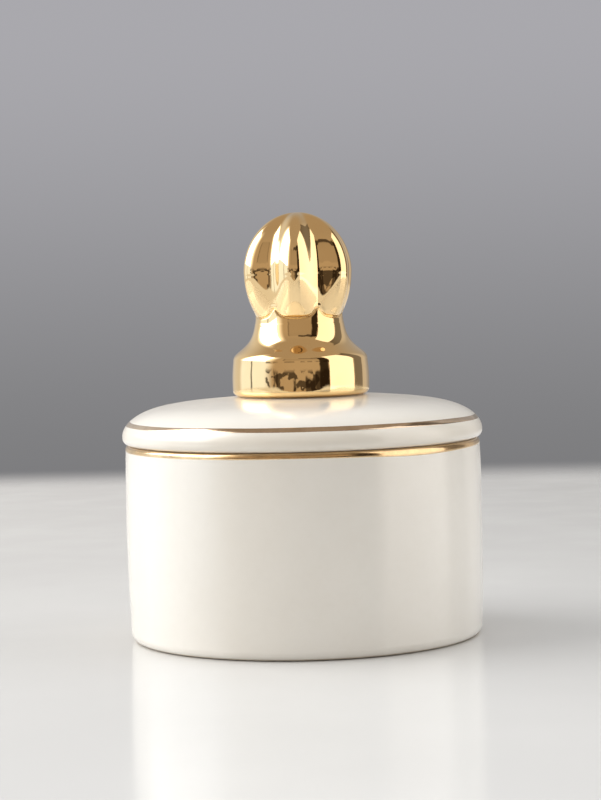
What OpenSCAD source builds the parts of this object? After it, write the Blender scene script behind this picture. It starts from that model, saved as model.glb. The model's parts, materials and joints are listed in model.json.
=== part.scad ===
// Round lidded trinket box in white glazed ceramic: a slightly barrelled
// body, a domed lid that drops onto the rim, and a hollow
// gold-lustred finial with a six-lobed ball. Millimetres, +Z up, origin at
// the centre of the resting plane under the foot ring.

/* [Box body] */
// Largest outside diameter of the body, a little under half way up
body_d = 100; // [90:1:110]
// Height of the rim top above the resting plane
body_h = 54.8; // [48:0.2:62]
// Height of the widest point of the barrelled wall
belly_z = 30; // [24:1:36]
// How far the wall draws in from the belly to the rim, per side
top_draw = 0.4; // [0:0.1:1]
// How far the wall draws in from the belly to the base corner, per side
base_draw = 0.65; // [0:0.05:1.2]
// Wall thickness at the mouth
wall = 4; // [3:0.1:5]
// Thickness of the floor above the foot ring's recess
floor_t = 4.2; // [3:0.1:6]
// Radius of the outside corner between wall and base
base_corner = 2.8; // [1.5:0.1:4]
// Rounding of the rim's outer and inner edges
rim_round = 1.3; // [0.8:0.1:1.8]
// Radius of the fillet between the inside wall and the floor
floor_fillet = 5; // [3:0.5:8]
// Inner radius of the foot ring that the box stands on
foot_in = 41.5; // [36:0.5:43]
// Depth of the glazed recess inside the foot ring
foot_recess = 1.3; // [0.6:0.1:2.5]

/* [Lid] */
// Largest outside diameter of the lid
lid_d = 100.9; // [91:0.1:111]
// Rounding of the lip that rests on the rim
lip_round = 2; // [1:0.1:2.4]
// Height above the rim where the lid is widest and the shoulder starts
lid_wide = 2.4; // [2.2:0.1:3.2]
// Height of the dome's crown above the rim
lid_rise = 12.95; // [11:0.05:15]
// Spherical radius of the shallow dome
dome_r = 330; // [200:10:500]
// Radius where the dome starts to roll over into the shoulder
shoulder_r = 30; // [25:1:34]
// Fullness of the shoulder, higher is squarer
shoulder_pow = 3.7; // [2.6:0.1:5]
// Thickness of the lid under the dome
lid_t = 3.8; // [3:0.1:5]
// Radial gap between the locating ring and the mouth of the box
ring_gap = 0.55; // [0.3:0.05:1]
// Depth of the locating ring below the rim
ring_depth = 4.6; // [3:0.1:7]
// Thickness of the locating ring
ring_t = 3; // [2.4:0.1:4]
// Diameter of the vent hole that lets the hollow knob breathe in the kiln
vent_d = 4; // [2.5:0.5:6]

/* [Gold lines] */
// Height of the rim line below the rim top
rim_line_h = 1.7; // [1:0.1:2.5]
// Radius on the lid where the shoulder line starts
lid_line_out = 49.45; // [49:0.05:49.8]
// Radius on the lid where the shoulder line ends
lid_line_in = 48.25; // [47:0.05:48.6]
// How far the lines stand out of the glaze
line_proud = 0.12; // [0.08:0.02:0.3]

/* [Knob] */
// Widest radius of the drum-shaped foot
drum_r = 19.2; // [17:0.1:21]
// Height of the drum, up to its shoulder
drum_h = 9.7; // [8:0.1:12]
// Rounding of the drum's bottom edge
drum_round = 1.6; // [0.8:0.1:2.4]
// Radius of the neck under the ball
neck_r = 12.2; // [11:0.1:13]
// Height of the neck's narrowest point above the foot
neck_h = 22.3; // [20:0.1:25]
// Where along the flare its slope is steepest, as a fraction
flare_mid = 0.325; // [0.25:0.005:0.4]
// Number of lobes round the ball
lobes = 6; // [5:1:8]
// Radius of the ball over the crest of a lobe
crest_r = 16.35; // [15:0.05:18]
// Radius of the ball in the groove between two lobes
groove_r = 12.65; // [12.4:0.05:14]
// Height of the ball's equator above the foot
equator_h = 34.3; // [32:0.1:37]
// Height from the equator to the crown of the ball
crown_h = 16.75; // [14:0.05:19]
// Half height of the ball's lower half, before the neck cuts it
under_h = 18.8; // [17:0.1:22]
// Wall thickness of the hollow casting
knob_wall = 3.2; // [2.4:0.1:4]
// Thickness of the slip joint between knob and lid
joint_t = 0.25; // [0.15:0.05:0.5]

/* [Hidden] */
$fn = 128;

ceramic = [0.95, 0.93, 0.88];
gold = [0.83, 0.62, 0.33];
slip = [0.86, 0.84, 0.79];

body_r = body_d / 2;
mouth_r = body_r - top_draw - wall;
lid_r = lid_d / 2;
lid_wide_z = body_h + lid_wide;
crown_z = body_h + lid_rise;
ring_r = mouth_r - ring_gap;
ring_in = ring_r - ring_t;
seat_r = drum_r - drum_round + 0.2;
seat_z = crown_z - seat_r * seat_r / (2 * dome_r);
knob_z = seat_z + joint_t;

// Points on a circular arc, from angle a0 to a1
function arc(cx, cz, r, a0, a1, n) =
    [for (i = [0 : n]) let (a = a0 + (a1 - a0) * i / n) [cx + r * cos(a), cz + r * sin(a)]];

// Outside radius of the barrelled wall at height z
function wall_r(z) = z > belly_z
    ? body_r - top_draw * pow((z - belly_z) / (body_h - belly_z), 2)
    : body_r - base_draw * pow((belly_z - z) / belly_z, 2);

// Height of the shallow dome at radius r, before the shoulder
function cap_z(r) = crown_z - r * r / (2 * dome_r);

// Point of the lid's shoulder; a runs from 0 at the widest ring to 90
function shoulder(a) = let (r = shoulder_r + (lid_r - shoulder_r) * pow(cos(a), 2 / shoulder_pow))
    [r, lid_wide_z + (cap_z(r) - lid_wide_z) * sin(a)];

// Height of the lid's outside at radius r
function lid_z(r) = r <= shoulder_r ? cap_z(r)
    : lid_wide_z + (cap_z(r) - lid_wide_z) * sqrt(1 - pow((r - shoulder_r) / (lid_r - shoulder_r), shoulder_pow));

// Outward normal of the lid's outside at radius r
function lid_n(r) = let (s = (lid_z(r + 0.01) - lid_z(r - 0.01)) / 0.02, m = sqrt(1 + s * s)) [-s / m, 1 / m];

// Height of the lid's underside at radius r, with a fillet to the ring
function under_z(r) = let (z0 = lid_wide_z)
    z0 + (cap_z(r) - lid_t - z0) * sqrt(1 - pow(r / ring_in, 8));

// Radius of the knob's turned part at height h above its foot
function turned_r(h) = h <= drum_h
    ? drum_r - 0.35 * pow(max(h - 4, 0) / (drum_h - 4), 2) - 0.12 * pow(max(4 - h, 0) / 4, 2)
    : let (s = min((h - drum_h) / (neck_h - drum_h), 1))
      neck_r + (drum_r - 0.35 - neck_r) * (1 / (1 + pow(s / flare_mid, 2.6)) - 0.051 * pow(s, 1.5));

// Radius over a lobe's crest and in a groove at height h above the foot
function crest_at(h) = h >= equator_h
    ? crest_r * sqrt(max(1 - pow((h - equator_h) / crown_h, 2), 0))
    : crest_r * sqrt(max(1 - pow((equator_h - h) / under_h, 2), 0));
function groove_at(h) = h >= equator_h
    ? groove_r * sqrt(max(1 - pow((h - equator_h) / crown_h, 2), 0))
    : groove_r * sqrt(max(1 - pow((equator_h - h) / (2 * under_h), 2), 0));

// Radius of the knob's outside at angle a and height h
function knob_r(a, h) = let (w = 0.5 + 0.5 * cos(lobes * (a + 90)),
        ball = groove_at(h) + (crest_at(h) - groove_at(h)) * w)
    h < neck_h - 2 ? turned_r(h) : h < equator_h ? max(turned_r(h), ball) : ball;

module box_body() {
    foot_r = wall_r(base_corner) - base_corner;
    rim_c = wall_r(body_h - rim_round) - rim_round;
    color(ceramic)
    rotate_extrude()
    polygon(concat(
        [[0, foot_recess], [foot_in - 1.2, foot_recess], [foot_in - 0.3, foot_recess * 0.75], [foot_in, foot_recess * 0.35], [foot_in + 0.5, 0]],
        arc(foot_r, base_corner, base_corner, -90, 0, 8),
        [for (i = [1 : 15]) let (z = base_corner + (body_h - rim_round - base_corner) * i / 16) [wall_r(z), z]],
        arc(rim_c, body_h - rim_round, rim_round, 0, 90, 8),
        arc(mouth_r + rim_round, body_h - rim_round, rim_round, 90, 180, 8),
        arc(mouth_r - floor_fillet, foot_recess + floor_t + floor_fillet, floor_fillet, 0, -90, 10),
        [[0, foot_recess + floor_t]]
    ));
}

module box_rim_gold_line() {
    rim_c = wall_r(body_h - rim_round) - rim_round;
    z0 = body_h - rim_line_h;
    z1 = body_h - rim_round;
    color(gold)
    rotate_extrude()
    polygon(concat(
        [[wall_r(z0) - 0.25, z0], [wall_r(z0) + line_proud * 0.5, z0], [wall_r(z0 + 0.15) + line_proud, z0 + 0.15]],
        arc(rim_c, z1, rim_round + line_proud, 0, 52, 5),
        arc(rim_c, z1, rim_round - 0.25, 52, 0, 5)
    ));
}

module lid() {
    color(ceramic)
    difference() {
        rotate_extrude()
        polygon(concat(
            [[ring_r, body_h]],
            arc(lid_r - lip_round, body_h + lip_round, lip_round, -90, 0, 8),
            [for (i = [0 : 17]) shoulder(90 * i / 18)],
            [for (i = [0 : 3]) let (r = shoulder_r + (seat_r - shoulder_r) * i / 3) [r, cap_z(r)]],
            [[0, seat_z]],
            [[0, cap_z(0) - lid_t]],
            [for (i = [1 : 12]) let (r = ring_in * sin(90 * i / 12.4)) [r, under_z(r)]],
            [[ring_in, lid_wide_z]],
            arc(ring_in + 0.8, body_h - ring_depth + 0.8, 0.8, 180, 270, 4),
            arc(ring_r - 0.8, body_h - ring_depth + 0.8, 0.8, 270, 360, 4)
        ));
        translate([0, 0, body_h]) cylinder(d = vent_d, h = lid_rise + 5);
    }
}

module lid_gold_line() {
    n = 6;
    color(gold)
    rotate_extrude()
    polygon(concat(
        [for (i = [0 : n]) let (r = lid_line_out + (lid_line_in - lid_line_out) * i / n,
            p = (i == 0 || i == n) ? line_proud * 0.4 : line_proud) [r, lid_z(r)] + lid_n(r) * p],
        [for (i = [n : -1 : 0]) let (r = lid_line_out + (lid_line_in - lid_line_out) * i / n) [r, lid_z(r)] - lid_n(r) * 0.25]
    ));
}

module knob() {
    m = 48;
    hs = concat(
        [for (i = [0 : 3]) drum_round * (1 - cos(90 * i / 4))],
        [for (i = [0 : 3]) drum_round + (drum_h - drum_round) * i / 4],
        [for (i = [0 : 9]) drum_h + (neck_h - 2 - drum_h) * i / 10],
        [for (i = [0 : 15]) neck_h - 2 + (equator_h - neck_h + 2) * i / 16],
        [for (i = [0 : 12]) equator_h + crown_h * sin(86 * i / 12)]
    );
    k = len(hs);
    function foot_cut(h) = h < drum_round ? drum_round - sqrt(max(drum_round * drum_round - pow(drum_round - h, 2), 0)) : 0;
    pts = concat(
        [for (h = hs) for (j = [0 : m - 1]) let (a = 360 * j / m, r = knob_r(a, h) - foot_cut(h)) [r * cos(a), r * sin(a), h]],
        [[0, 0, equator_h + crown_h]]
    );
    faces = concat(
        [[for (j = [0 : m - 1]) j]],
        [for (i = [0 : k - 2]) for (j = [0 : m - 1]) let (n = (j + 1) % m) [i * m + j, (i + 1) * m + j, (i + 1) * m + n]],
        [for (i = [0 : k - 2]) for (j = [0 : m - 1]) let (n = (j + 1) % m) [i * m + j, (i + 1) * m + n, i * m + n]],
        [for (j = [0 : m - 1]) let (n = (j + 1) % m) [(k - 1) * m + j, k * m, (k - 1) * m + n]]
    );
    in_r = drum_r - knob_wall - 0.4;
    throat = neck_r - knob_wall;
    color(gold)
    translate([0, 0, knob_z])
    difference() {
        polyhedron(points = pts, faces = faces);
        rotate_extrude()
        polygon([[0, -1], [in_r - 2.2, -1], [in_r - 2.2, 0.6], [in_r, 3.4], [in_r, drum_h - 2.4],
            [throat + 3, drum_h + 2.2], [throat, drum_h + 7], [throat, equator_h + 3],
            [throat - 2.6, equator_h + 9], [0, equator_h + crown_h - knob_wall - 0.8]]);
    }
}

module knob_slip_joint() {
    color(slip)
    translate([0, 0, seat_z])
    difference() {
        cylinder(r = seat_r - 0.5, h = joint_t);
        translate([0, 0, -1]) cylinder(r = drum_r - knob_wall - 2.6, h = joint_t + 2);
    }
}

box_body();
box_rim_gold_line();
lid();
lid_gold_line();
knob();
knob_slip_joint();
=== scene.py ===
import json
import math

import bpy
import numpy as np
from mathutils import Matrix, Vector


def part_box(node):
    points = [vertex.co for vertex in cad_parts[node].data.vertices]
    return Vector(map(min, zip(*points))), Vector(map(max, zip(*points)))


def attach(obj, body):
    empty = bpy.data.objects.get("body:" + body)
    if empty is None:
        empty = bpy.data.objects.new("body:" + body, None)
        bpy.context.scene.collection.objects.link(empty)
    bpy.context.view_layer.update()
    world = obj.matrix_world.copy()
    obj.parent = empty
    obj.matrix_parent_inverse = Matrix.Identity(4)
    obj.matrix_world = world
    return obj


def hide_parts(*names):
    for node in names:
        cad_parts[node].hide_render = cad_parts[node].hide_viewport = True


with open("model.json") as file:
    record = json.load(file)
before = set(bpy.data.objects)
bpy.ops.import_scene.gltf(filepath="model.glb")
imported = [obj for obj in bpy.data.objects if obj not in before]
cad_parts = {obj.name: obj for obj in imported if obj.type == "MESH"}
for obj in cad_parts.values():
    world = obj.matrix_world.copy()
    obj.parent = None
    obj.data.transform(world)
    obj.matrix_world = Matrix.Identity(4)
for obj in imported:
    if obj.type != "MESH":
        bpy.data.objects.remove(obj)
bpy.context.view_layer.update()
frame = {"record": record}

record = frame["record"]
MM = 0.001
scene = bpy.context.scene

# ---------------------------------------------------------------- sizes
# The main sizes are read from the imported nodes' boxes, in millimetres; the other sizes below are given numbers.


def node_box(name):
    lo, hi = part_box(name)
    return [v / MM for v in lo], [v / MM for v in hi]


_, b_hi = node_box("box_body")
l_lo, l_hi = node_box("lid")
k_lo, k_hi = node_box("knob")
s_lo, s_hi = node_box("knob_slip_joint")
rl_lo, rl_hi = node_box("box_rim_gold_line")
ll_lo, ll_hi = node_box("lid_gold_line")

BODY_R = b_hi[0]
BODY_H = b_hi[2]
LID_R = l_hi[0]
SEAT_Z = s_lo[2]
KNOB_Z = k_lo[2]
TOP_Z = k_hi[2]

BELLY_Z, TOP_DRAW, BASE_DRAW = 30.0, 0.4, 0.65
WALL, FLOOR_Z, FILLET = 4.0, 5.5, 5.0
BASE_C, RIM_C, LIP_C = 2.8, 1.3, 2.0
MOUTH_R = BODY_R - TOP_DRAW - WALL
WIDE_Z = BODY_H + 2.4
CROWN_Z = BODY_H + 12.95
DOME_R, SHOULDER_R, SHOULDER_POW, LID_T = 330.0, 30.0, 3.7, 3.8
RING_R = MOUTH_R - 0.55
RING_IN = RING_R - 3.0
RING_DEPTH = 4.6
SEAT_R = 17.8
CAM_AZ = 5.0

# ---------------------------------------------------------------- helpers


def arc(cx, cz, r, a0, a1, n):
    return [(cx + r * math.cos(math.radians(a0 + (a1 - a0) * i / n)),
             cz + r * math.sin(math.radians(a0 + (a1 - a0) * i / n))) for i in range(n + 1)]


def wave(theta, z, seed, amp, kz=0.05):
    """Slow deterministic waviness round the axis, about -amp to amp."""
    rng = np.random.RandomState(seed)
    out = np.zeros_like(theta)
    tot = 0.0
    for k in (2, 3, 5, 7):
        a = rng.uniform(0.5, 1.0) / k ** 0.7
        out = out + a * np.sin(k * theta + rng.uniform(0, 6.28) + kz * k * rng.uniform(0.4, 1.2) * z)
        tot += a
    return amp * out / tot


def densify(prof, step):
    out = [prof[0]]
    for (r0, z0), (r1, z1) in zip(prof[:-1], prof[1:]):
        n = max(1, int(math.ceil(math.hypot(r1 - r0, z1 - z0) / step)))
        for i in range(1, n + 1):
            out.append((r0 + (r1 - r0) * i / n, z0 + (z1 - z0) * i / n))
    return out


def make_mesh(name, verts, faces, material, body, nodes):
    me = bpy.data.meshes.new(name)
    me.from_pydata([tuple(float(c) * MM for c in v) for v in verts], [], faces)
    me.validate()
    me.update()
    ob = bpy.data.objects.new(name, me)
    scene.collection.objects.link(ob)
    me.polygons.foreach_set("use_smooth", [True] * len(me.polygons))
    me.materials.append(material)
    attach(ob, body)
    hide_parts(*nodes)
    return ob


def revolve(name, prof, seg, shape=None, closed=False):
    """Verts and faces of a turned profile of (r, z) points, outside on the left of the way the profile runs upwards.
    shape(r, z, theta) returns displaced r and z."""
    th = np.arange(seg) * 2 * math.pi / seg
    verts, rings = [], []
    for i, (r, z) in enumerate(prof):
        if r < 1e-6:
            rings.append([len(verts)])
            verts.append((0.0, 0.0, z))
            continue
        rr, zz = (np.full(seg, r), np.full(seg, z)) if shape is None else shape(np.full(seg, r), np.full(seg, z), th)
        rings.append(list(range(len(verts), len(verts) + seg)))
        verts.extend(zip(rr * np.cos(th), rr * np.sin(th), zz))
    faces = []
    n = len(prof)
    for i in range(n if closed else n - 1):
        a, b = rings[i], rings[(i + 1) % n]
        if len(a) == 1 and len(b) == 1:
            continue
        for j in range(seg):
            k = (j + 1) % seg
            if len(a) == 1:
                faces.append((a[0], b[k], b[j]))
            elif len(b) == 1:
                faces.append((a[j], a[k], b[0]))
            else:
                faces.append((a[j], a[k], b[k], b[j]))
    return verts, faces


# ---------------------------------------------------------------- materials


class Nodes:
    def __init__(self, name):
        self.mat = bpy.data.materials.new(name)
        self.mat.use_nodes = True
        self.t = self.mat.node_tree
        self.t.nodes.clear()
        self.out = self.t.nodes.new("ShaderNodeOutputMaterial")
        self.bsdf = self.t.nodes.new("ShaderNodeBsdfPrincipled")
        self.t.links.new(self.bsdf.outputs[0], self.out.inputs["Surface"])
        self.obj = self.t.nodes.new("ShaderNodeTexCoord").outputs["Object"]

    def link(self, a, b):
        self.t.links.new(a, b)

    def val(self, node, sock, v):
        if hasattr(v, "links"):
            self.link(v, node.inputs[sock])
        else:
            node.inputs[sock].default_value = v

    def noise(self, scale, detail=2.0, rough=0.5, vec=None, distortion=0.0):
        n = self.t.nodes.new("ShaderNodeTexNoise")
        n.inputs["Scale"].default_value = scale
        n.inputs["Detail"].default_value = detail
        n.inputs["Roughness"].default_value = rough
        n.inputs["Distortion"].default_value = distortion
        self.link(vec or self.obj, n.inputs["Vector"])
        return n.outputs["Fac"]

    def voronoi(self, scale, feature="F1", vec=None):
        n = self.t.nodes.new("ShaderNodeTexVoronoi")
        n.feature = feature
        n.inputs["Scale"].default_value = scale
        self.link(vec or self.obj, n.inputs["Vector"])
        return n

    def math(self, op, a, b=0.0, clamp=False):
        n = self.t.nodes.new("ShaderNodeMath")
        n.operation = op
        n.use_clamp = clamp
        self.val(n, 0, a)
        self.val(n, 1, b)
        return n.outputs[0]

    def ramp(self, fac, lo, hi, a=0.0, b=1.0, smooth=True):
        n = self.t.nodes.new("ShaderNodeMapRange")
        n.interpolation_type = "SMOOTHSTEP" if smooth else "LINEAR"
        n.clamp = True
        self.val(n, "Value", fac)
        self.val(n, "From Min", lo)
        self.val(n, "From Max", hi)
        self.val(n, "To Min", a)
        self.val(n, "To Max", b)
        return n.outputs[0]

    def mix(self, fac, a, b):
        n = self.t.nodes.new("ShaderNodeMix")
        n.data_type = "RGBA"
        self.val(n, "Factor", fac)
        for sock, v in ((6, a), (7, b)):
            if hasattr(v, "links"):
                self.link(v, n.inputs[sock])
            else:
                n.inputs[sock].default_value = (*v, 1.0)
        return n.outputs[2]

    def xyz(self):
        n = self.t.nodes.new("ShaderNodeSeparateXYZ")
        self.link(self.obj, n.inputs[0])
        return n.outputs

    def radius(self):
        x, y, _ = self.xyz()
        return self.math("SQRT", self.math("ADD", self.math("MULTIPLY", x, x), self.math("MULTIPLY", y, y)))

    def bump(self, height, strength, distance, normal=None):
        n = self.t.nodes.new("ShaderNodeBump")
        n.inputs["Strength"].default_value = strength
        n.inputs["Distance"].default_value = distance
        self.link(height, n.inputs["Height"])
        if normal is not None:
            self.link(normal, n.inputs["Normal"])
        return n.outputs[0]

    def set(self, name, v):
        self.val(self.bsdf, name, v)


def glaze_material(name, foot=False, ring=False):
    n = Nodes(name)
    tint = n.ramp(n.noise(22, 3, 0.55), 0.3, 0.7)
    base = n.mix(tint, (0.855, 0.825, 0.762), (0.89, 0.866, 0.812))
    fine = n.ramp(n.noise(420, 3, 0.6), 0.35, 0.75)
    base = n.mix(n.math("MULTIPLY", fine, 0.10), base, (0.79, 0.76, 0.69))
    # sparse pinholes and iron specks in the glaze
    v = n.voronoi(95)
    pick = n.ramp(n.voronoi(95).outputs["Color"], 0.90, 0.93)
    speck = n.math("MULTIPLY", n.ramp(v.outputs["Distance"], 0.035, 0.015), pick)
    base = n.mix(n.math("MULTIPLY", speck, 0.55), base, (0.42, 0.32, 0.22))
    rough = n.ramp(n.noise(60, 3, 0.6), 0.3, 0.75, 0.16, 0.24)
    hair = n.ramp(n.noise(900, 2, 0.5), 0.4, 0.8, 0.0, 0.02)
    rough = n.math("ADD", rough, hair)
    bare = None
    x, y, z = n.xyz()
    if foot:
        # the foot ring is wiped clean of glaze before firing
        bare = n.ramp(z, 0.0007, 0.0004)
    if ring:
        # the glaze runs thin over the rolled edge and shows the warm clay; this darker, warmer band on the lid's side
        # is also painted shade
        side_shade_thin_glaze = n.math("MULTIPLY", n.ramp(z, (BODY_H + 9.0) * MM, (BODY_H + 4.0) * MM), n.ramp(n.noise(90, 3, 0.6), 0.2, 0.8, 0.55, 0.95))
        base = n.mix(side_shade_thin_glaze, base, (0.815, 0.765, 0.675))
        bare = n.ramp(z, (BODY_H - RING_DEPTH + 0.55) * MM, (BODY_H - RING_DEPTH + 0.3) * MM)
    h1 = n.noise(70, 2, 0.4)
    h2 = n.noise(520, 2, 0.5)
    normal = n.bump(h1, 0.35, 0.00022)
    normal = n.bump(h2, 0.25, 0.000018, normal)
    if bare is not None:
        grit = n.noise(2600, 4, 0.7)
        bisque = n.mix(n.ramp(n.noise(300, 3), 0.3, 0.7), (0.66, 0.59, 0.49), (0.72, 0.66, 0.57))
        base = n.mix(bare, base, bisque)
        rough = n.math("MAXIMUM", rough, n.math("MULTIPLY", bare, 0.85))
        normal = n.bump(n.math("MULTIPLY", grit, bare), 0.6, 0.00008, normal)
    n.set("Base Color", base)
    n.set("Roughness", rough)
    n.set("IOR", 1.52)
    n.set("Coat Weight", 1.0)
    n.set("Coat Roughness", 0.28 if ring else 0.21)
    n.set("Coat IOR", 1.5)
    n.set("Normal", normal)
    return n.mat


def gold_material(name, low_tone=(0.90, 0.655, 0.345), high_tone=(0.96, 0.725, 0.40), worn=0.0, rough=(0.03, 0.10), foot=False, top=False):
    n = Nodes(name)
    t = n.ramp(n.noise(45, 3, 0.6), 0.3, 0.7)
    base = n.mix(t, low_tone, high_tone)
    if worn:
        # thin brushed lustre: browner where the brush ran dry
        s = n.ramp(n.noise(170, 4, 0.65), 0.38, 0.75)
        base = n.mix(n.math("MULTIPLY", s, worn), base, (0.44, 0.33, 0.22))
        streak = n.ramp(n.noise(1500, 2, 0.5), 0.5, 0.8)
        base = n.mix(n.math("MULTIPLY", streak, worn * 0.4), base, (0.34, 0.24, 0.15))
    if foot:
        x, y, z = n.xyz()
        # partly painted reflection: towards the knob's foot the gold is mixed to a brighter orange, standing for the
        # lit lid reflected there as well as lustre running thin
        low = n.ramp(z, (KNOB_Z + 3.2) * MM, (KNOB_Z + 0.3) * MM)
        base = n.mix(n.math("MULTIPLY", low, 0.8), base, (1.0, 0.71, 0.34))
    if top:
        # painted shade: the rim line is darkened to brown towards its top edge, where the lid shades the rim
        x, y, z = n.xyz()
        lid_shade_mask = n.ramp(n.math("ADD", z, n.math("MULTIPLY", n.noise(260, 3, 0.6), 0.0004)), (BODY_H - 0.72) * MM, (BODY_H - 0.28) * MM)
        base = n.mix(n.math("MULTIPLY", lid_shade_mask, 0.5), base, (0.40, 0.28, 0.15))
    pit = n.voronoi(420)
    pick = n.ramp(n.voronoi(420).outputs["Color"], 0.86, 0.9)
    pits = n.math("MULTIPLY", n.ramp(pit.outputs["Distance"], 0.11, 0.03), pick)
    base = n.mix(n.math("MULTIPLY", pits, 0.6), base, (0.42, 0.27, 0.13))
    smudge = n.ramp(n.noise(85, 4, 0.62, distortion=0.6), 0.48, 0.8)
    rg = n.ramp(smudge, 0.0, 1.0, rough[0], rough[1], smooth=False)
    rg = n.math("ADD", rg, n.math("MULTIPLY", pits, 0.3))
    h = n.noise(120, 2, 0.45)
    normal = n.bump(h, 0.30, 0.00010)
    normal = n.bump(n.noise(1500, 3, 0.6), 0.18, 0.000010, normal)
    normal = n.bump(n.math("MULTIPLY", pits, -1.0), 0.35, 0.00005, normal)
    n.set("Base Color", base)
    n.set("Metallic", 1.0)
    n.set("Roughness", rg)
    n.set("Normal", normal)
    return n.mat


def slip_material(name):
    n = Nodes(name)
    t = n.ramp(n.noise(240, 4, 0.65), 0.3, 0.7)
    n.set("Base Color", n.mix(t, (0.60, 0.50, 0.36), (0.70, 0.60, 0.45)))
    n.set("Roughness", n.ramp(n.noise(600, 3, 0.6), 0.3, 0.7, 0.4, 0.6))
    n.set("Normal", n.bump(n.noise(1400, 4, 0.7), 0.5, 0.00006))
    return n.mat


m_body = glaze_material("glaze_body", foot=True)
m_lid = glaze_material("glaze_lid", ring=True)
m_gold = gold_material("gold_lustre", foot=True)
m_rim = gold_material("gold_line_rim", (0.80, 0.57, 0.31), (0.90, 0.66, 0.38), worn=0.45, rough=(0.14, 0.24), top=True)
m_line = gold_material("gold_line_lid", (0.66, 0.54, 0.42), (0.76, 0.64, 0.51), worn=0.4, rough=(0.08, 0.18))
m_slip = slip_material("fired_slip")

# ---------------------------------------------------------------- box body


def wall_r(z):
    if z > BELLY_Z:
        return BODY_R - TOP_DRAW * ((z - BELLY_Z) / (BODY_H - BELLY_Z)) ** 2
    return BODY_R - BASE_DRAW * ((BELLY_Z - z) / BELLY_Z) ** 2


FOOT_IN, RECESS = 41.5, 1.3
rim_c = wall_r(BODY_H - RIM_C) - RIM_C
BASE_IN = 2.2
foot_r = wall_r(BASE_C) - BASE_IN
prof = densify([(0.0, RECESS), (FOOT_IN - 1.6, RECESS)], 2.0)
prof += [(FOOT_IN - 1.0, RECESS - 0.07), (FOOT_IN - 0.55, RECESS - 0.3), (FOOT_IN - 0.25, RECESS - 0.62),
         (FOOT_IN, RECESS - 0.95), (FOOT_IN + 0.3, 0.1), (FOOT_IN + 0.75, 0.0)]
prof += densify([(FOOT_IN + 0.75, 0.0), (foot_r, 0.0)], 1.0)[1:]
prof += [(foot_r + BASE_IN * (r - foot_r) / BASE_C, z) for r, z in arc(foot_r, BASE_C, BASE_C, -90, 0, 18)[1:]]
prof += [(wall_r(z), z) for z in np.linspace(BASE_C, BODY_H - RIM_C, 60)[1:]]
prof += arc(rim_c, BODY_H - RIM_C, RIM_C, 0, 90, 14)[1:]
prof += arc(MOUTH_R + RIM_C, BODY_H - RIM_C, RIM_C, 90, 180, 14)
prof += densify([(MOUTH_R, BODY_H - RIM_C), (MOUTH_R, FLOOR_Z + FILLET)], 1.2)[1:]
prof += arc(MOUTH_R - FILLET, FLOOR_Z + FILLET, FILLET, 0, -90, 16)[1:]
prof += densify([(MOUTH_R - FILLET, FLOOR_Z), (0.0, FLOOR_Z)], 2.0)[1:]


def body_shape(r, z, th):
    # a cast wall is never quite true: a slow wave of a few hundredths of a millimetre
    fade = np.clip((z - 1.0) / 6.0, 0, 1) * np.clip((BODY_H - 0.6 - z) / 4.0, 0, 1) * np.clip(r / 20, 0, 1)
    d = wave(th, z, 7, 0.05) * fade
    inner = r < MOUTH_R + 0.5
    dz = np.where(inner & (z < FLOOR_Z + 1) & (z > FLOOR_Z - 0.5), wave(th, r, 11, 0.05) * np.clip(r / 25, 0, 1), 0)
    return r + d - 0.0 * inner, z + dz


v, f = revolve("box_body", prof, 224, body_shape)
make_mesh("box_body_glazed", v, f, m_body, "box", ["box_body"])

# ---------------------------------------------------------------- lid


def cap_z(r):
    return CROWN_Z - r * r / (2 * DOME_R)


def shoulder(a):
    r = SHOULDER_R + (LID_R - SHOULDER_R) * max(math.cos(math.radians(a)), 0) ** (2 / SHOULDER_POW)
    return (r, WIDE_Z + (cap_z(r) - WIDE_Z) * math.sin(math.radians(a)))


def lid_z(r):
    if r <= SHOULDER_R:
        return cap_z(r)
    t = min((r - SHOULDER_R) / (LID_R - SHOULDER_R), 1.0)
    return WIDE_Z + (cap_z(r) - WIDE_Z) * math.sqrt(max(1 - t ** SHOULDER_POW, 0))


def lid_n(r):
    s = (lid_z(r + 0.01) - lid_z(r - 0.01)) / 0.02
    m = math.sqrt(1 + s * s)
    return (-s / m, 1 / m)


def under_z(r):
    return WIDE_Z + (cap_z(r) - LID_T - WIDE_Z) * math.sqrt(max(1 - (r / RING_IN) ** 8, 0))


VENT = 2.0
prof = [(RING_R, BODY_H - 0.35), (RING_R + 0.1, BODY_H - 0.1), (RING_R + 0.35, BODY_H)]
prof += densify([(RING_R + 0.35, BODY_H), (LID_R - LIP_C, BODY_H)], 1.2)[1:]
prof += arc(LID_R - LIP_C, BODY_H + LIP_C, LIP_C, -90, 0, 16)[1:]
prof += [shoulder(90 * i / 60) for i in range(1, 60)]
last_r = prof[-1][0]
prof += [(r, cap_z(r)) for r in np.linspace(min(last_r, SHOULDER_R), SEAT_R, 10)[1:]]
prof += densify([(SEAT_R, SEAT_Z), (VENT + 0.3, SEAT_Z)], 2.0)[1:]
prof += [(VENT + 0.08, SEAT_Z - 0.1), (VENT, SEAT_Z - 0.35)]
low = under_z(VENT)
prof += densify([(VENT, SEAT_Z - 0.35), (VENT, low + 0.5)], 1.0)[1:]
prof += [(VENT + 0.12, low + 0.15), (VENT + 0.5, low)]
prof += [(r, under_z(r)) for r in [RING_IN * math.sin(math.radians(90 * i / 40)) for i in range(2, 40)] if r > VENT + 0.6]
prof += densify([(RING_IN, WIDE_Z), (RING_IN, BODY_H - RING_DEPTH + 0.8)], 1.0)
prof += arc(RING_IN + 0.8, BODY_H - RING_DEPTH + 0.8, 0.8, 180, 270, 8)[1:]
prof += arc(RING_R - 0.8, BODY_H - RING_DEPTH + 0.8, 0.8, 270, 360, 8)
prof += densify([(RING_R, BODY_H - RING_DEPTH + 0.8), (RING_R, BODY_H - 0.35)], 1.0)[1:-1]


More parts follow.
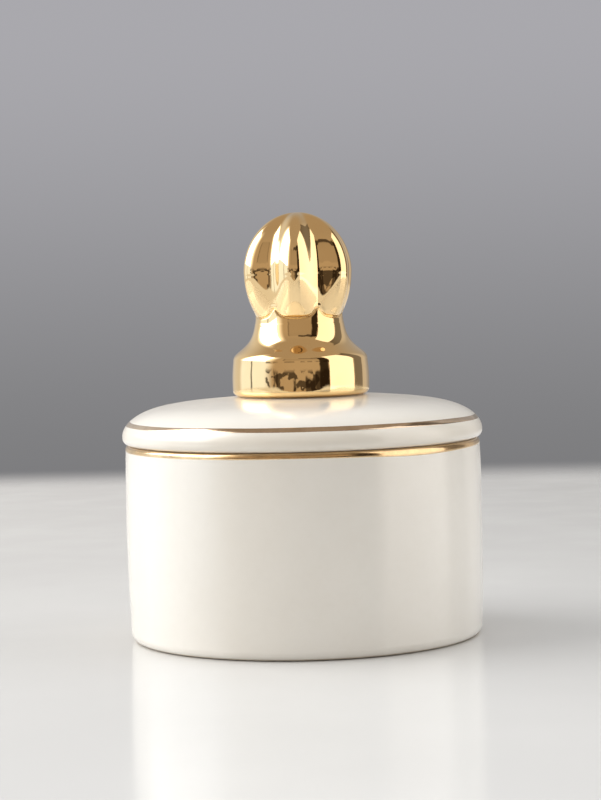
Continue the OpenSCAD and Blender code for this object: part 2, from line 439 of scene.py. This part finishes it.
def lid_shape(r, z, th):
    top = np.clip((z - BODY_H - 1.2) / 3.0, 0, 1)
    near = np.clip((r - SEAT_R - 1) / 8.0, 0, 1) * np.clip((47.0 - r) / 6.0, 0, 1)
    d = wave(th, r, 23, 0.05, kz=0.12) * top * near
    return r, z + d


v, f = revolve("lid", prof, 224, lid_shape, closed=True)
make_mesh("lid_glazed", v, f, m_lid, "lid", ["lid"])

# ---------------------------------------------------------------- gold lines


def ribbon(point, normal, s0, s1, seg, proud, sunk=0.1, n=9):
    """A thin painted line: closed cross-section between s0(theta) and s1(theta) along a turned surface."""
    th = np.arange(seg) * 2 * math.pi / seg
    verts, faces = [], []
    m = 2 * (n + 1)
    for t in th:
        a, b = s0(t), s1(t)
        row = []
        for i in range(n + 1):
            u = i / n
            s = a + (b - a) * u
            p, q = point(s), normal(s)
            e = proud * (1 - abs(2 * u - 1) ** 6) - (0.02 if u in (0, 1) else 0)
            row.append((p[0] + q[0] * e, p[1] + q[1] * e))
        for i in range(n, -1, -1):
            s = a + (b - a) * i / n
            p, q = point(s), normal(s)
            row.append((p[0] - q[0] * sunk, p[1] - q[1] * sunk))
        c, sn = math.cos(t), math.sin(t)
        verts += [(r * c, r * sn, z) for r, z in row]
    for j in range(seg):
        k = (j + 1) % seg
        for i in range(m):
            i2 = (i + 1) % m
            faces.append((j * m + i, k * m + i, k * m + i2, j * m + i2))
    return verts, faces


# Rim line: arc length s in mm, 0 at the foot of the rounded edge, negative down the wall.
def rim_point(s):
    if s <= 0:
        z = BODY_H - RIM_C + s
        return (wall_r(z), z)
    a = s / RIM_C
    return (rim_c + RIM_C * math.cos(a), BODY_H - RIM_C + RIM_C * math.sin(a))


def rim_normal(s):
    a = max(s, 0) / RIM_C
    return (math.cos(a), math.sin(a))


def wob(t, seed, amp, ks=(1, 2, 3, 5, 8, 13)):
    rng = np.random.RandomState(seed)
    return amp * sum(rng.uniform(0.4, 1) / k ** 0.5 * math.sin(k * t + rng.uniform(0, 6.28)) for k in ks) / 2.2


v, f = ribbon(rim_point, rim_normal,
              lambda t: -(1.7 - RIM_C) - 0.12 + wob(t, 3, 0.12) - 0.52 * math.exp(-(((math.degrees(t) + 47 + 180) % 360 - 180) / 20.0) ** 2),
              lambda t: RIM_C * math.radians(81) + wob(t, 4, 0.05), 360, 0.035)
make_mesh("box_rim_lustre", v, f, m_rim, "box", ["box_rim_gold_line"])

LINE_OUT, LINE_IN = 49.45, 48.25
v, f = ribbon(lambda r: (r, lid_z(r)), lid_n,
              lambda t: LINE_OUT + wob(t, 8, 0.10),
              lambda t: LINE_IN + wob(t, 9, 0.26), 360, 0.035)
make_mesh("lid_shoulder_lustre", v, f, m_line, "lid", ["lid_gold_line"])

# ---------------------------------------------------------------- knob

DRUM_R, DRUM_H, DRUM_C = 19.2, 9.7, 1.6
NECK_R, NECK_H, FLARE = 12.2, 22.3, 0.325
CREST, GROOVE = 16.35, 12.65
EQ = 34.3
CROWN = TOP_Z - KNOB_Z - EQ
UNDER = 18.8
LOBES = 6
KWALL = 3.2


def turned_r(h):
    h = np.asarray(h, float)
    drum = DRUM_R - 0.35 * (np.clip(h - 4, 0, None) / (DRUM_H - 4)) ** 2 - 0.12 * (np.clip(4 - h, 0, None) / 4) ** 2
    s = np.clip((h - DRUM_H) / (NECK_H - DRUM_H), 0, 1)
    neck = NECK_R + (DRUM_R - 0.35 - NECK_R) * (1 / (1 + (s / FLARE) ** 2.6) - 0.051 * s ** 1.5)
    return np.where(h <= DRUM_H, drum, neck)


def semi(h, low):
    up = np.sqrt(np.clip(1 - ((h - EQ) / CROWN) ** 2, 0, None))
    dn = np.sqrt(np.clip(1 - ((EQ - h) / low) ** 2, 0, None))
    return np.where(h >= EQ, up, dn)


def ball_radius(a, h):
    w = 0.5 + 0.5 * np.cos(LOBES * (a + math.pi / 2))
    g = GROOVE * semi(h, 2 * UNDER)
    return g + (CREST * semi(h, UNDER) - g) * w


def hem_height(a):
    """Height of the scalloped line where the ball meets the neck, at angle a."""
    lo, hi = np.full_like(a, 19.0), np.full_like(a, 28.0)
    for _ in range(40):
        mid = 0.5 * (lo + hi)
        out = ball_radius(a, mid) > turned_r(mid)
        lo, hi = np.where(out, lo, mid), np.where(out, mid, hi)
    return 0.5 * (lo + hi)


def knob_radius(a, h):
    ball = ball_radius(a, h)
    t = turned_r(h)
    # a soft crease where the lobes tuck into the neck
    k = 0.10
    soft = 0.5 * (ball + t + np.sqrt((ball - t) ** 2 + k * k)) - 0.5 * k
    line = hem_height(a)
    slope = (hem_height(a + 0.01) - hem_height(a - 0.01)) / (0.02 * NECK_R)
    off = (h - line + 0.10) / np.sqrt(1 + slope ** 2)
    crease = -0.34 * np.exp(-(off / 0.26) ** 2) + 0.05 * np.exp(-((off - 0.70) / 0.38) ** 2)
    both = soft + crease
    return np.where(h < NECK_H - 2, t, np.where(h < EQ, both, ball))


hs = list(DRUM_C * (1 - np.cos(np.radians(np.linspace(0, 90, 12)))))
hs += list(np.linspace(DRUM_C, DRUM_H, 18)[1:])
hs += list(np.linspace(DRUM_H, NECK_H - 2, 40)[1:])
hs += list(np.linspace(NECK_H - 2, EQ - 8, 90)[1:])
hs += list(np.linspace(EQ - 8, EQ, 16)[1:])
hs += list(EQ + CROWN * np.sin(np.radians(np.linspace(0, 88.5, 52)))[1:])
seg = 360
th = np.arange(seg) * 2 * math.pi / seg
verts, rings = [], []


def add_ring(r, h):
    rings.append(list(range(len(verts), len(verts) + seg)))
    r = np.broadcast_to(r, (seg,))
    verts.extend(zip(r * np.cos(th), r * np.sin(th), np.full(seg, KNOB_Z + h)))


# inside of the hollow casting, from the crown down to the open foot, then the outside from the foot up
in_r = DRUM_R - KWALL - 0.4
throat = NECK_R - KWALL
cav = densify([(throat - 2.6, EQ + 9), (throat, EQ + 3), (throat, DRUM_H + 7), (throat + 3, DRUM_H + 2.2),
               (in_r, DRUM_H - 2.4), (in_r, 3.4), (in_r - 2.2, 0.6), (in_r - 2.2, 0.0)], 2.0)
pole_in = len(verts)
verts.append((0, 0, KNOB_Z + EQ + CROWN - KWALL - 0.8))
add_ring(2.0, EQ + CROWN - KWALL - 1.6)
for r, h in cav:
    add_ring(r, h)
for h in hs:
    cut = DRUM_C - math.sqrt(max(DRUM_C ** 2 - (DRUM_C - h) ** 2, 0)) if h < DRUM_C else 0.0
    add_ring(knob_radius(th, np.full(seg, h)) - cut, h)
pole = len(verts)
verts.append((0, 0, TOP_Z))
faces = []
for j in range(seg):
    k = (j + 1) % seg
    faces.append((pole_in, rings[0][k], rings[0][j]))
    faces.append((rings[-1][j], rings[-1][k], pole))
for a, b in zip(rings[:-1], rings[1:]):
    for j in range(seg):
        k = (j + 1) % seg
        faces.append((a[j], a[k], b[k], b[j]))
make_mesh("finial_knob", verts, faces, m_gold, "lid", ["knob"])

# ---------------------------------------------------------------- slip joint
jr = s_hi[0]
jz0, jz1 = s_lo[2], s_hi[2]
ji = DRUM_R - KWALL - 2.6
prof = [(ji, jz0), (ji + 0.4, jz0 - 0.0)] + densify([(ji + 0.4, jz0), (jr - 0.1, jz0)], 1.0)[1:]
prof += arc(jr - 0.12, (jz0 + jz1) / 2, (jz1 - jz0) / 2, -90, 90, 8)[1:]
prof += densify([(jr - 0.12, jz1), (ji, jz1)], 1.0)[1:]


def slip_shape(r, z, th):
    return r + np.where(r > jr - 0.5, wave(th, z, 31, 0.06), 0), z


v, f = revolve("slip", prof, 192, slip_shape, closed=True)
make_mesh("knob_slip_ring", v, f, m_slip, "lid", ["knob_slip_joint"])

# ---------------------------------------------------------------- stage
m = Nodes("floor_pale")
m.set("Base Color", m.mix(m.ramp(m.noise(9, 3, 0.5), 0.3, 0.7), (0.672, 0.667, 0.657), (0.702, 0.697, 0.687)))
m.set("Roughness", m.ramp(m.noise(30, 3, 0.5), 0.3, 0.7, 0.10, 0.14))
m.set("IOR", 1.365)
# the edges of the table top melt into the backdrop
clear = m.t.nodes.new("ShaderNodeBsdfTransparent")
edge = m.t.nodes.new("ShaderNodeMixShader")
fx, fy, _ = m.xyz()
ex = m.math("POWER", m.math("ABSOLUTE", m.math("MULTIPLY", fx, 1.0)), 4.0)
ey = m.math("POWER", m.math("ABSOLUTE", m.math("MULTIPLY", m.math("SUBTRACT", fy, 0.07), 1 / 0.53)), 4.0)
m.link(m.ramp(m.math("POWER", m.math("ADD", ex, ey), 0.25), 0.76, 1.0), edge.inputs[0])
m.link(m.bsdf.outputs[0], edge.inputs[1])
m.link(clear.outputs[0], edge.inputs[2])
m.link(edge.outputs[0], m.out.inputs["Surface"])
LOW = -0.00004
verts = [(-1.02, -0.48, LOW), (1.02, -0.48, LOW), (1.02, 0.62, LOW), (-1.02, 0.62, LOW)]
faces = [(0, 1, 2, 3)]
me = bpy.data.meshes.new("floor")
me.from_pydata(verts, [], faces)
me.materials.append(m.mat)
floor = bpy.data.objects.new("floor", me)
scene.collection.objects.link(floor)

# ---------------------------------------------------------------- camera
CAM_D, CAM_H, F_PX = 0.640, 0.0985, 2280.6
PITCH, ROLL, YAW = 0.0508, -0.0259, -0.0004
az = math.radians(CAM_AZ)
Rz = Matrix.Rotation(az, 3, "Z")
F = Rz @ Vector((math.sin(YAW) * math.cos(PITCH), math.cos(YAW) * math.cos(PITCH), -math.sin(PITCH)))
Rt = F.cross(Vector((0, 0, 1))).normalized()
U = Rt.cross(F)
R2 = Rt * math.cos(ROLL) + U * math.sin(ROLL)
U2 = -Rt * math.sin(ROLL) + U * math.cos(ROLL)
cam = bpy.data.cameras.new("camera")
cam.sensor_width = 36
cam.lens = F_PX / 800 * 36
cam.clip_start, cam.clip_end = 0.01, 20
co = bpy.data.objects.new("camera", cam)
scene.collection.objects.link(co)
pos = Rz @ Vector((0, -CAM_D, CAM_H))
co.matrix_world = Matrix((
    (R2.x, U2.x, -F.x, pos.x), (R2.y, U2.y, -F.y, pos.y), (R2.z, U2.z, -F.z, pos.z), (0, 0, 0, 1)))
scene.camera = co

# ---------------------------------------------------------------- light


def softbox(name, az_lo, az_hi, elev_lo, elev_hi, dist, radiance, color, mirror=True):
    a = math.radians((az_lo + az_hi) / 2 + CAM_AZ)
    d = Vector((math.sin(a), -math.cos(a), 0))
    w = 2 * dist * math.tan(math.radians((az_hi - az_lo) / 2))
    z0, z1 = dist * math.tan(math.radians(elev_lo)), dist * math.tan(math.radians(elev_hi))
    li = bpy.data.lights.new(name, "AREA")
    li.shape = "RECTANGLE"
    li.size, li.size_y = w, z1 - z0
    li.energy = radiance * math.pi * w * (z1 - z0)
    li.color = color
    ob = bpy.data.objects.new(name, li)
    scene.collection.objects.link(ob)
    ob.location = d * dist + Vector((0, 0, (z0 + z1) / 2 + 0.05))
    ob.rotation_mode = "QUATERNION"
    ob.rotation_quaternion = d.to_track_quat("Z", "Y")
    ob.visible_camera = False
    ob.visible_glossy = mirror
    return ob


WHITE = (1.0, 0.985, 0.965)
softbox("softbox_left", -120, -62, 13, 58, 1.15, 3.5, WHITE)
softbox("fill_left_back", -134, -120, 1, 58, 1.15, 3.5, WHITE, mirror=False)
softbox("fill_left_low", -120, -62, 1, 13, 1.15, 3.4, WHITE, mirror=False)
softbox("softbox_right", 50, 101, -12, 58, 1.15, 1.12, (1.0, 0.975, 0.95))
softbox("fill_right", 48, 84, 5, 50, 1.10, 0.09, (1.0, 0.99, 0.97), mirror=False)
softbox("fill_left_front", -60, -40, 5, 50, 1.10, 0.2, WHITE, mirror=False)
softbox("fill_right_back", 96, 132, 1, 50, 1.10, 0.75, (1.0, 0.99, 0.97), mirror=False)

world = bpy.data.worlds.new("studio")
scene.world = world
world.use_nodes = True
t = world.node_tree
t.nodes.clear()
out = t.nodes.new("ShaderNodeOutputWorld")
bg = t.nodes.new("ShaderNodeBackground")
t.links.new(bg.outputs[0], out.inputs[0])
tc = t.nodes.new("ShaderNodeTexCoord")
sep = t.nodes.new("ShaderNodeSeparateXYZ")
t.links.new(tc.outputs["Generated"], sep.inputs[0])


def wm(op, a, b=0.0, clamp=False):
    n = t.nodes.new("ShaderNodeMath")
    n.operation = op
    n.use_clamp = clamp
    for i, v in enumerate((a, b)):
        if hasattr(v, "links"):
            t.links.new(v, n.inputs[i])
        else:
            n.inputs[i].default_value = v
    return n.outputs[0]


def wr(v, lo, hi, a=0.0, b=1.0):
    n = t.nodes.new("ShaderNodeMapRange")
    n.interpolation_type = "SMOOTHSTEP"
    n.clamp = True
    t.links.new(v, n.inputs["Value"])
    for s, x in (("From Min", lo), ("From Max", hi), ("To Min", a), ("To Max", b)):
        n.inputs[s].default_value = x
    return n.outputs[0]


def wmix(fac, a, b):
    n = t.nodes.new("ShaderNodeMix")
    n.data_type = "RGBA"
    t.links.new(fac, n.inputs["Factor"])
    for s, v in ((6, a), (7, b)):
        if hasattr(v, "links"):
            t.links.new(v, n.inputs[s])
        else:
            n.inputs[s].default_value = (*v, 1.0)
    return n.outputs[2]


# azimuth from the camera's side, in degrees, positive to the viewer's right; elevation in degrees
ca, sa = math.cos(az), math.sin(az)
dx = wm("ADD", wm("MULTIPLY", sep.outputs[0], ca), wm("MULTIPLY", sep.outputs[1], sa))
dy = wm("ADD", wm("MULTIPLY", sep.outputs[0], -sa), wm("MULTIPLY", sep.outputs[1], ca))
azim = wm("MULTIPLY", wm("ARCTAN2", dx, wm("MULTIPLY", dy, -1.0)), 57.29578)
elev = wm("MULTIPLY", wm("ARCSINE", sep.outputs[2]), 57.29578)
front = wr(wm("ABSOLUTE", azim), 130.0, 60.0)
behind = wmix(wr(dx, -0.08, -0.55), (0.43, 0.40, 0.375), (0.74, 0.71, 0.66))
behind = wmix(wr(dx, 0.46, 0.66), behind, (0.62, 0.57, 0.52))
# darker low down behind, to the right
dusk = wm("MULTIPLY", wr(dx, -0.03, 0.13), wm("MULTIPLY", wr(elev, 11.2, 8.2), wr(wm("ABSOLUTE", azim), 150.0, 164.0)))
behind = wmix(wm("MULTIPLY", dusk, 0.45), behind, (0.14, 0.135, 0.13))
side = wmix(front, behind, (0.50, 0.385, 0.27))
up = wr(elev, 25.0, 62.0)
col = wmix(up, side, (0.43, 0.34, 0.25))


def box_mask(a0, a1, e0, e1, soft=1.5):
    m1 = wm("MULTIPLY", wr(azim, a0 - soft, a0 + soft), wr(azim, a1 + soft, a1 - soft))
    m2 = wm("MULTIPLY", wr(elev, e0 - soft, e0 + soft), wr(elev, e1 + soft, e1 - soft))
    return wm("MULTIPLY", m1, m2)


# the soft inner edge of the left window
glow = wm("MULTIPLY", wr(azim, -42.0, -66.0), wm("MULTIPLY", wr(elev, 5.0, 15.0), wr(elev, 64.0, 46.0)))
glow = wm("MULTIPLY", glow, wr(azim, -132.0, -118.0))
col = wmix(glow, col, (2.0, 1.92, 1.82))
low = wm("MULTIPLY", wr(azim, -46.0, -67.0), wm("MULTIPLY", wr(elev, -14.0, -10.0), wr(elev, 15.0, 11.0)))
low = wm("MULTIPLY", low, wr(azim, -128.0, -116.0))
col = wmix(low, col, (1.12, 1.22, 1.34))
# studio flags and stands, seen only as dark shapes in the gold
DARK = (0.022, 0.013, 0.007)
nv = t.nodes.new("ShaderNodeTexNoise")
nv.inputs["Scale"].default_value = 5.0
nv.inputs["Detail"].default_value = 2.0
t.links.new(tc.outputs["Generated"], nv.inputs["Vector"])
azim0, elev0 = azim, elev
azim = wm("ADD", azim, wm("MULTIPLY", wm("SUBTRACT", nv.outputs["Fac"], 0.5), 7.0))
elev = wm("ADD", elev, wm("MULTIPLY", wm("SUBTRACT", nv.outputs["Fac"], 0.5), -9.0))
for a0, a1, e0, e1, amount in ((-29, 36, 13, 42, 0.16), (-31, -28, 13, 42, 0.45), (32, 49, -20, 45, 0.97), (-4, 49, 40, 47, 0.85),
                               (103, 129, -20, 52, 0.66), (24, 48, -20, 6, 0.9), (8, 24, -20, 1, 0.85),
                               (-13, -8, -9, 0, 0.8), (-46, -44, -9, 5, 0.8), (-41.5, -39, -9, 5, 0.8), (-47, -39, 3.5, 5.5, 0.6),
                               (-93.5, -90.5, -9, 11, 0.9)):
    col = wmix(wm("MULTIPLY", box_mask(a0, a1, e0, e1), amount), col, DARK)
azim, elev = azim0, elev0
comb = t.nodes.new("ShaderNodeCombineXYZ")
t.links.new(wm("MULTIPLY", azim, 0.062), comb.inputs[0])
t.links.new(wm("MULTIPLY", elev, 0.14), comb.inputs[1])
nz = t.nodes.new("ShaderNodeTexNoise")
nz.inputs["Scale"].default_value = 1.0
nz.inputs["Detail"].default_value = 2.0
t.links.new(comb.outputs[0], nz.inputs["Vector"])
blobs = wm("MULTIPLY", wr(nz.outputs["Fac"], 0.50, 0.55), box_mask(-62, 50, -16, 6, 2.0))
col = wmix(wm("MULTIPLY", blobs, 0.85), col, DARK)
# the table top goes on to a level edge, lower towards the viewer
brink = wr(wm("ABSOLUTE", azim), 0.0, 46.0, -12.8, -4.2)
col = wmix(wr(wm("SUBTRACT", elev, brink), 0.7, -0.7), col, (0.84, 0.815, 0.775))
lp = t.nodes.new("ShaderNodeLightPath")
# what lights the white glaze and the table: a warm room low down, a cool white ceiling
soft = wmix(wr(elev, 30.0, 62.0), wmix(front, (0.365, 0.355, 0.345), (0.21, 0.165, 0.115)), (1.16, 1.22, 1.28))
soft = wmix(wr(elev, 0.0, -4.0), soft, (0.50, 0.47, 0.43))
col = wmix(lp.outputs["Is Glossy Ray"], soft, col)
back = wmix(wr(elev, -6.0, 7.0), (0.20, 0.20, 0.205), (0.40, 0.395, 0.42))
col = wmix(lp.outputs["Is Camera Ray"], col, back)
t.links.new(col, bg.inputs["Color"])
bg.inputs["Strength"].default_value = 1.0

scene.view_settings.view_transform = "Standard"
scene.view_settings.look = "None"
